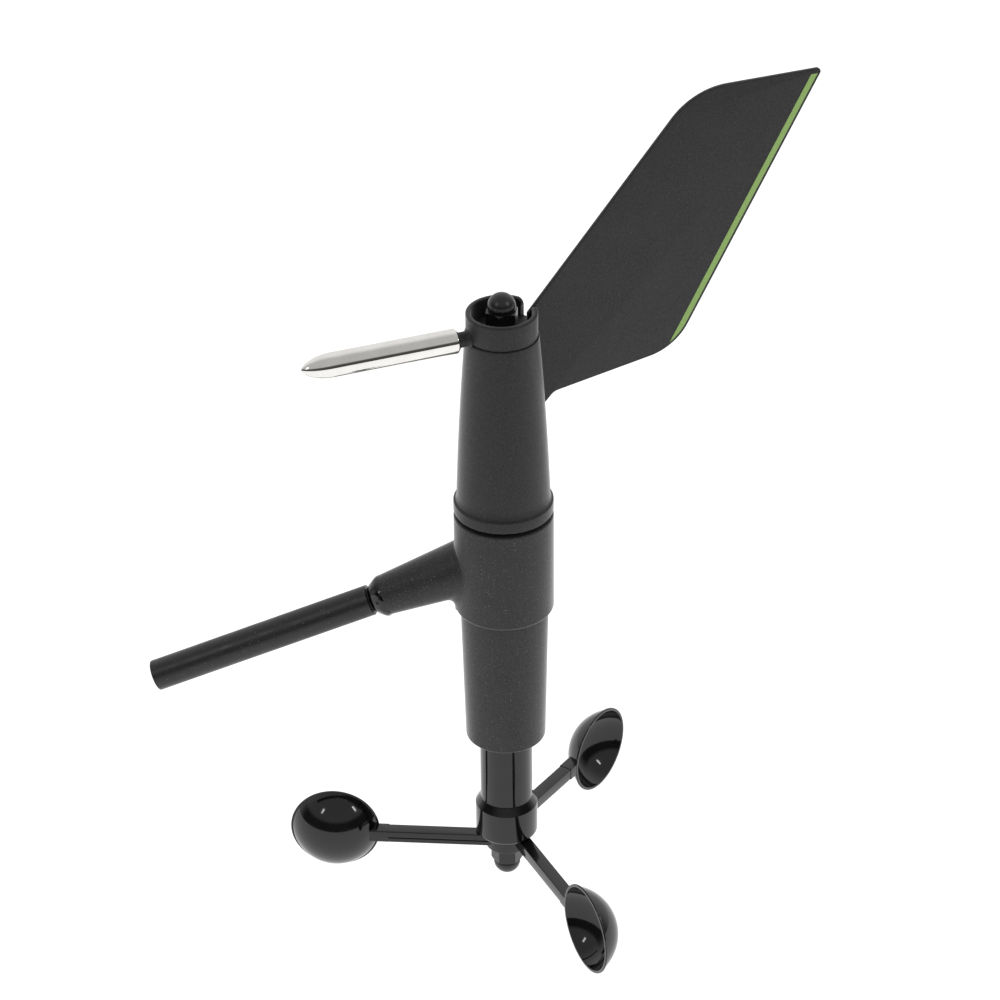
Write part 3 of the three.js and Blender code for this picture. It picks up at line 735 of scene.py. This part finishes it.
def skirt_profile():
    """The skirt's wall in section: flange, bowed outside, roof and inside."""
    steps = 24
    rise = SKIRT_TOP - 0.5 - SKIRT_FLANGE_TOP
    heights = [SKIRT_FLANGE_TOP + rise * i / steps for i in range(steps + 1)]
    outside = [(skirt_radius(height), height) for height in heights]
    roof = SKIRT_TOP - SKIRT_ROOF
    inside = [(radius - SKIRT_WALL, height) for radius, height in outside if height < roof]
    flange = round_corners([
        (17.05, SKIRT_BOTTOM, 0.2), (SKIRT_FLANGE_RADIUS, SKIRT_BOTTOM, 0.5),
        (SKIRT_FLANGE_RADIUS, SKIRT_FLANGE_TOP - 0.9, 0.5),
        (skirt_radius(SKIRT_FLANGE_TOP) + 0.35, SKIRT_FLANGE_TOP - 0.5, 0.4),
        (skirt_radius(SKIRT_FLANGE_TOP + 1.2), SKIRT_FLANGE_TOP + 1.2, 0),
    ], closed=False)
    top = round_corners([
        outside[-2] + (0,), (skirt_radius(SKIRT_TOP), SKIRT_TOP, 0.5), (SPINDLE_BORE, SKIRT_TOP, 0),
    ], closed=False)
    under = [(SPINDLE_BORE, roof), (skirt_radius(roof) - SKIRT_WALL, roof)]
    return flange + outside[1:-2] + top + under + inside[::-1]


vane_skirt = solid("vane_skirt_body", turned(skirt_profile()))
finish_piece(vane_skirt, "vane", materials["vane_plastic"], ["vane_skirt"], sharp=40)

BLADE_CORNERS = [
    (10.5, 82.0, 0), (12.8, 82.0, 0), (17.1, 46.5, 0), (*BLADE_HEEL_CORNER, 5.0),
    (*BLADE_LOW_CORNER, BLADE_LOW_RADIUS), (*BLADE_TIP, 1.5), (79.0, 171.5, 30.0), (10.5, 88.4, 0),
]
blade_outline = round_corners(BLADE_CORNERS, math.radians(4))


def ring_wall():
    """The open ring round the spindle nut: a wall that stops short of the blade on its far side."""
    loops = []
    steps = 120
    start, end = SLOT_TO, 2 * math.pi - math.radians(1)
    corner = 2.6
    blend = 2.5
    angles = [start + (end - start) * i / steps for i in range(steps + 1)]
    angles[1:1] = [start + (corner / RING_RADIUS) * t for t in (0.04, 0.12, 0.25, 0.42, 0.62, 0.85)]
    for angle in sorted(set(angles)):
        away = (angle - start) * RING_RADIUS
        drop = 0.0
        if away < corner:
            drop = corner - math.sqrt(corner ** 2 - (corner - away) ** 2)
        left = (end - angle) * RING_RADIUS
        if left < blend:
            drop = 0.9 * (1 - left / blend) ** 2
        top = RING_TOP - drop
        section = round_corners([
            (RING_RADIUS - RING_WALL, RING_BOTTOM + 0.6, 0), (RING_RADIUS, RING_BOTTOM + 0.6, 0),
            (RING_RADIUS, top, 0.8), (RING_RADIUS - RING_WALL, top, 0.6),
        ])
        loops.append([(r * math.cos(angle), r * math.sin(angle), z) for r, z in section])
    return loft(loops)


def blade_foot():
    """The narrow filleted strip where the blade stands on the skirt."""
    half = BLADE_THICKNESS / 2
    section = [
        (-2.3, -0.6), (-2.2, 0.06), (-1.6, 0.14), (-1.2, 0.4), (-half - 0.02, 1.1), (half + 0.02, 1.1),
        (1.2, 0.4), (1.6, 0.14), (2.2, 0.06), (2.3, -0.6),
    ]
    loops = []
    steps = 16
    for i in range(steps + 1):
        height = 50.5 + (80.5 - 50.5) * i / steps
        radius = skirt_radius(height)
        loops.append([(math.sqrt(radius ** 2 - y ** 2) + rise, y, height) for y, rise in section])
    return loft(loops)


vane = solid("vane_moulding", ring_wall(), vane_frame)
base_profile = round_corners([
    (SPINDLE_BORE, RING_BOTTOM, 0), (RING_RADIUS, RING_BOTTOM, 0.4), (RING_RADIUS, WELL_FLOOR, 0),
    (SPINDLE_BORE, WELL_FLOOR, 0),
])
# The stub's root flares out to meet the ring.
stub_flare = []
for i in range(6):
    bend = math.pi / 2 * i / 5
    radius = STUB_RADIUS + STUB_FLARE * (1 - math.sin(bend))
    stub_flare.append((radius, STUB_START + 3.0 - 1.6 * math.cos(bend)))
stub_profile = [(0, STUB_START), (STUB_RADIUS + STUB_FLARE, STUB_START)] + stub_flare + [
    (STUB_RADIUS, WEIGHT_START - 0.2), (2.1, WEIGHT_START - 0.2), (2.1, 29), (0, 29),
]
combine(vane, "UNION",
        solid("ring base", turned(base_profile), vane_frame),
        solid("stub", turned(stub_profile, SMALL), weight_frame),
        solid("blade", plate(blade_outline, BLADE_THICKNESS, 0.45), vane_frame),
        solid("foot", blade_foot(), vane_frame))
combine(vane, "DIFFERENCE", solid("spindle bore", rod(SPINDLE_BORE, 70, 95), vane_frame))
finish_piece(vane, "vane", materials["vane_plastic"], ["vane"])


def stripe_outline():
    """The printed band inside the trailing edge. Its lower end follows the blade's rounded corner."""
    low, high = Vector(BLADE_LOW_CORNER), Vector(BLADE_TIP)
    heel = Vector(BLADE_HEEL_CORNER)
    along = (high - low).normalized()
    inward = Vector((-along.y, along.x))
    half = along.angle((heel - low).normalized()) / 2
    tangent = BLADE_LOW_RADIUS / math.tan(half)
    centre = low + along * tangent + inward * BLADE_LOW_RADIUS
    radius = BLADE_LOW_RADIUS - STRIPE_INSET
    depth = BLADE_LOW_RADIUS - STRIPE_INSET - STRIPE_WIDTH
    sweep = math.acos(depth / radius)
    outline = []
    for i in range(13):
        angle = sweep * (1 - i / 12)
        outline.append(centre - inward * (radius * math.cos(angle)) - along * (radius * math.sin(angle)))
    top = high.y - STRIPE_TOP_INSET
    for offset in (STRIPE_INSET, STRIPE_INSET + STRIPE_WIDTH):
        start = low + inward * offset
        outline.append(start + along * ((top - start.y) / along.y))
    return [tuple(point) for point in outline]


def stripe_solid():
    """A printed stripe, the same on both faces of the blade, as two thin films."""
    faces = []
    points = []
    for side in (-1, 1):
        depths = sorted((side * (BLADE_THICKNESS / 2 - 0.02), side * (BLADE_THICKNESS / 2 + STRIPE_FILM)))
        shape = loft([[(x, depth, z) for x, z in stripe_outline()] for depth in depths])
        faces += [tuple(index + len(points) for index in face) for face in shape[1]]
        points += shape[0]
    return points, faces


stripe = solid("vane_stripe", stripe_solid(), vane_frame)
finish_piece(stripe, "vane", stripe_ink)

nose_length = WEIGHT_TIP - WEIGHT_SHOULDER
nose_steps = 20
weight_nose = []
for i in range(nose_steps):
    t = math.sin(math.pi / 2 * i / nose_steps)
    weight_nose.append((WEIGHT_RADIUS * (1 - t ** 2) ** 0.62, WEIGHT_SHOULDER + nose_length * t))
weight_profile = round_corners([
    (WEIGHT_BORE, WEIGHT_START, 0), (WEIGHT_RADIUS - WEIGHT_CHAMFER, WEIGHT_START, 0.15),
    (WEIGHT_RADIUS, WEIGHT_START + WEIGHT_CHAMFER, 0.25),
    (WEIGHT_RADIUS, WEIGHT_START + 3, 0),
], closed=False)
bore_end = WEIGHT_START + WEIGHT_BORE_DEPTH
weight_profile += weight_nose + [(0, WEIGHT_TIP), (0, bore_end), (WEIGHT_BORE, bore_end)]
counterweight = solid("counterweight_body", turned(weight_profile, FINE), weight_frame)
finish_piece(counterweight, "vane", materials["chrome"], ["counterweight"], sharp=50)


# ------------------------------------------------------------------ domed nuts
def domed_nut(name, matrix):
    """A cap nut: chamfered hexagon, a groove, and a dome. Its open face is at z = 0."""
    corner = NUT_FLATS / math.sqrt(3)
    angles = [math.pi * i / 3 for i in range(6)]
    corners = [(corner * math.cos(angle), corner * math.sin(angle), 0.5) for angle in angles]
    hexagon_outline = round_corners(corners, math.radians(15))
    nut = solid(name, loft([[(x, y, z) for x, y in hexagon_outline] for z in (0, NUT_HEX_HEIGHT)]), matrix)
    chamfer = round_corners([
        (0, -0.01, 0), (5.9, -0.01, 0), (6.9, 0.6, 0), (6.9, NUT_HEX_HEIGHT - 0.6, 0.3),
        (5.9, NUT_HEX_HEIGHT + 0.01, 0.2), (0, NUT_HEX_HEIGHT + 0.01, 0),
    ])
    combine(nut, "INTERSECT", solid("chamfer", turned(chamfer), matrix))
    centre = NUT_HEX_HEIGHT + 1.4
    dome = [(0, 1), (5.1, 1), (5.1, NUT_HEX_HEIGHT + 0.35), (NUT_DOME_RADIUS - 0.15, NUT_HEX_HEIGHT + 0.6)]
    dome += arc(0, centre, NUT_DOME_RADIUS, -0.1, math.pi / 2, 16)[:-1] + [(0, centre + NUT_DOME_RADIUS)]
    combine(nut, "UNION", solid("dome", turned(dome, SMALL), matrix))
    combine(nut, "DIFFERENCE", solid("thread", rod(SPINDLE_BORE, -1, 8), matrix))
    return nut


vane_nut = domed_nut("vane_cap_nut", vane_frame @ Matrix.Translation((0, 0, WELL_FLOOR + 1.4)))
finish_piece(vane_nut, "vane", satin_nut, ["vane_dome_nut"])
rotor_nut = domed_nut("rotor_cap_nut",
                      Matrix.Translation((0, 0, STEP_BOTTOM - 0.3)) @ Matrix.Rotation(math.pi, 4, "X"))
finish_piece(rotor_nut, "rotor", satin_nut, ["rotor_dome_nut"])


# ------------------------------------------------------------------ cup rotor
hub_profile = round_corners([
    (HUB_BORE, HUB_TOP, 0), (HUB_BORE, HUB_FLOOR, 0), (SPINDLE_BORE, HUB_FLOOR, 0),
    (SPINDLE_BORE, STEP_BOTTOM, 0),
    (STEP_RADIUS, STEP_BOTTOM, 0.5), (STEP_RADIUS, COLLAR_BOTTOM, 0.3), (COLLAR_RADIUS, COLLAR_BOTTOM, 1.8),
    (COLLAR_RADIUS, HUB_FLARE_END, 0.6), (HUB_RADIUS, HUB_FLARE_TOP, 1.5), (HUB_RADIUS, HUB_TOP, 0.3),
])
cup_hub = solid("cup_hub_body", turned(hub_profile))


def arm_section(margin=0.0):
    """A box section with a low ledge on its +y side, or a plain box for a cup's socket, with a margin."""
    half = ARM_WIDTH / 2 + margin
    low, high = ARM_BOTTOM - margin, ARM_BOTTOM + ARM_HEIGHT + margin
    corners = [(-half, low, 0.25), (half, low, 0.25), (half, high, 0.45), (-half, high, 0.3)]
    if margin == 0:
        out = half + ARM_LEDGE_WIDTH
        step = low + ARM_LEDGE_HEIGHT
        corners[1:2] = [(out, low, 0.25), (out, step, 0.2), (half, step, 0)]
    return [(y + ARM_SIDEWAYS, z) for y, z in round_corners(corners, math.radians(25))]


for heading in ARM_HEADINGS:
    around = Matrix.Rotation(heading, 4, "Z")
    combine(cup_hub, "UNION", solid("arm", bar(arm_section(), 5.0, ARM_END), around))
combine(cup_hub, "DIFFERENCE",
        solid("hub bore", rod(HUB_BORE, HUB_FLOOR, HUB_TOP + 1)),
        solid("spindle bore", rod(SPINDLE_BORE, STEP_BOTTOM - 2.2, HUB_FLOOR + 2)))
finish_piece(cup_hub, "rotor", materials["gloss_plastic"], ["cup_hub"])

bowl_radius = (CUP_RIM_RADIUS ** 2 + CUP_DEPTH ** 2) / (2 * CUP_DEPTH)
bowl_centre = bowl_radius - CUP_DEPTH


def cup_profile():
    """The bowl's wall in section: outside, lip and inside."""
    inner = bowl_radius - CUP_WALL
    lip_start = math.asin((bowl_centre + CUP_LIP_HEIGHT) / bowl_radius)
    outside = arc(0, bowl_centre, bowl_radius, -math.pi / 2, -lip_start, 28)[1:]
    inside = arc(0, bowl_centre, inner, -math.asin((bowl_centre + 0.3) / inner), -math.pi / 2, 28)[:-1]
    lip = round_corners([
        outside[-1] + (0,), (CUP_LIP_RADIUS, -CUP_LIP_HEIGHT, 0.2), (CUP_LIP_RADIUS, 0, 0.35),
        (inside[0][0] + 0.1, 0, 0.2), inside[0] + (0,),
    ], closed=False)
    return [(0, bowl_centre - bowl_radius)] + outside[:-1] + lip + inside[1:] + [(0, bowl_centre - inner)]


def cup(name, heading):
    """A cup and its socket. It opens towards -y before it is turned to its heading."""
    around = Matrix.Rotation(heading, 4, "Z")
    facing = around @ Matrix.Translation((CUP_ORBIT, 0, CUP_HEIGHT)) @ Matrix.Rotation(math.pi / 2, 4, "X")
    obj = solid(name, bar(arm_section(SOCKET_MARGIN), ARM_END, SOCKET_END), around)
    hollow = arc(0, bowl_centre, bowl_radius - CUP_WALL / 2, -math.pi / 2, math.pi / 2, 32)[1:-1]
    bottom = (0, bowl_centre - bowl_radius + CUP_WALL / 2)
    top = (0, bowl_centre + bowl_radius - CUP_WALL / 2)
    combine(obj, "DIFFERENCE", solid("hollow", turned([bottom] + hollow + [top], SMALL), facing))
    combine(obj, "UNION", solid("bowl", turned(cup_profile()), facing))
    return obj


for number, heading in enumerate(ARM_HEADINGS, start=1):
    piece = cup(f"cup_{number}_bowl", heading)
    finish_piece(piece, "rotor", materials["gloss_plastic"], [f"cup_{number}"], sharp=40)


# ------------------------------------------------------------------ carried-over CAD nodes
slot_of = {part["node"]: part["material_slot"] for part in frame["record"]["subparts"]}
for node, obj in frame["nodes"].items():
    if node not in replaced:
        obj.data.materials.clear()
        obj.data.materials.append(materials[slot_of[node]])


# ------------------------------------------------------------------ floor, light and camera
# From here on, lengths are in metres.
FLOOR_DROP = 0.16
FLOOR_HALF = 6.0
floor_height = cad_box[0][2] - FLOOR_DROP
floor_mesh = bpy.data.meshes.new("floor")
floor_corners = [
    (-FLOOR_HALF, -FLOOR_HALF), (FLOOR_HALF, -FLOOR_HALF),
    (FLOOR_HALF, FLOOR_HALF), (-FLOOR_HALF, FLOOR_HALF),
]
floor_mesh.from_pydata([(x, y, floor_height) for x, y in floor_corners], [], [(0, 1, 2, 3)])
floor = bpy.data.objects.new("floor", floor_mesh)
scene.collection.objects.link(floor)
paper = Nodes("floor paper")
paper.colour(paper.mix(paper.noise(30, 3), (0.34, 0.34, 0.34), (0.37, 0.37, 0.37)))
paper.shader.inputs["Roughness"].default_value = 0.9
paper.shader.inputs["Specular IOR Level"].default_value = 0.0
paper.shader.inputs["Emission Color"].default_value = (1, 1, 1, 1)
paper.shader.inputs["Emission Strength"].default_value = 0.95
floor_mesh.materials.append(paper.material)

TENT_TOP = 0.55
TENT_LOW_FRONT = 0.07
TENT_BACK = 0.95
world = bpy.data.worlds.new("white tent")
scene.world = world
world.use_nodes = True
tree = world.node_tree
background = tree.nodes["Background"]


def ramp(value, low, high, to_low, to_high):
    """A smooth step in the world's light, from one strength or blend to another."""
    node = tree.nodes.new("ShaderNodeMapRange")
    node.interpolation_type = "SMOOTHSTEP"
    tree.links.new(value, node.inputs["Value"])
    for socket, number in zip(("From Min", "From Max", "To Min", "To Max"), (low, high, to_low, to_high)):
        node.inputs[socket].default_value = number
    return node.outputs["Result"]


# A grey tent: bright behind, softer overhead, dark low down on the camera's side. The camera itself
# sees plain white.
direction = tree.nodes.new("ShaderNodeTexCoord").outputs["Generated"]
split = tree.nodes.new("ShaderNodeSeparateXYZ")
tree.links.new(direction, split.inputs["Vector"])
rise = ramp(split.outputs["Z"], 0.28, 0.46, TENT_LOW_FRONT, TENT_TOP)
tent = tree.nodes.new("ShaderNodeMix")
tree.links.new(ramp(split.outputs["Y"], -0.1, 0.6, 0.0, 1.0), tent.inputs["Factor"])
tree.links.new(rise, tent.inputs[2])
tent.inputs[3].default_value = TENT_BACK
camera_ray = tree.nodes.new("ShaderNodeLightPath").outputs["Is Camera Ray"]
plain = tree.nodes.new("ShaderNodeMix")
tree.links.new(camera_ray, plain.inputs["Factor"])
tree.links.new(tent.outputs[0], plain.inputs[2])
plain.inputs[3].default_value = 1.0
tree.links.new(plain.outputs[0], background.inputs["Strength"])
background.inputs["Color"].default_value = (1, 1, 1, 1)


def softbox(name, place, width, height, power):
    """A rectangular light aimed at the middle of the object."""
    data = bpy.data.lights.new(name, "AREA")
    data.shape = "RECTANGLE"
    data.size = width
    data.size_y = height
    data.energy = power
    obj = bpy.data.objects.new(name, data)
    middle = (Vector(cad_box[0]) + Vector(cad_box[1])) / 2
    aim = (middle - Vector(place)).to_track_quat("-Z", "Y")
    obj.matrix_world = Matrix.Translation(place) @ aim.to_matrix().to_4x4()
    scene.collection.objects.link(obj)


softbox("left softbox", (-0.75, -0.75, 0.95), 0.10, 0.30, 1.2)
softbox("right softbox", (1.0, -0.45, 0.8), 0.10, 0.30, 1.2)

camera_data = bpy.data.cameras.new("camera")
camera_data.lens = 136.7
camera_data.sensor_width = 36
camera_data.clip_end = 50
camera = bpy.data.objects.new("camera", camera_data)
scene.collection.objects.link(camera)
camera.matrix_world = Matrix((
    (0.99994, 0.010664, 0.0, 0.141386),
    (-0.005623, 0.52731, -0.84965, -1.28264),
    (-0.009060, 0.84960, 0.52734, 0.87866),
    (0, 0, 0, 1),
))
scene.camera = camera
scene.view_settings.view_transform = "Standard"
